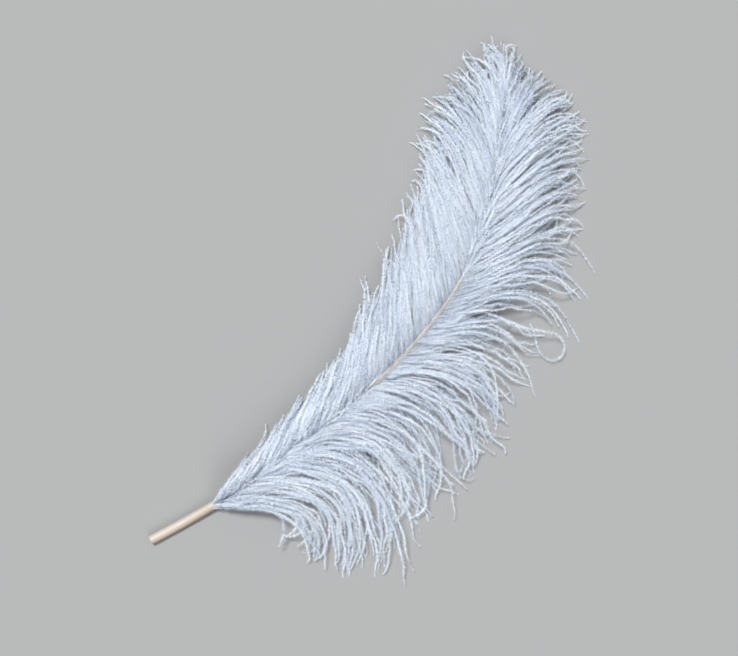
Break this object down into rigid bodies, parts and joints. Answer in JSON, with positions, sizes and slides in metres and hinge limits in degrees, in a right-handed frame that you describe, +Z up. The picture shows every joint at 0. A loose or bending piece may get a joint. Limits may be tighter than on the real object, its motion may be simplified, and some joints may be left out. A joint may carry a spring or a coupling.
{
  "type": "ostrich feather",
  "caption": "Loose white ostrich plume lying flat: bare trimmed quill, bowed cream shaft, wide drooping outer vane and narrower upswept inner vane.",
  "frame": {"origin": "on the surface that the feather lies on, under the middle of its box", "axes": "+Z up off the surface, +Y from the cut quill to the tip, +X towards the wide outer vane"},
  "size_m": [0.1698, 0.3756, 0.0271],
  "materials": {
    "barbs": "soft, dull bluish white, of fine loose barbs",
    "shaft": "smooth cream horn with a low sheen, paler and more pink at the bare quill"
  },
  "bodies": {
    "root": {"feather": "barbs"}
  },
  "joints": []
}
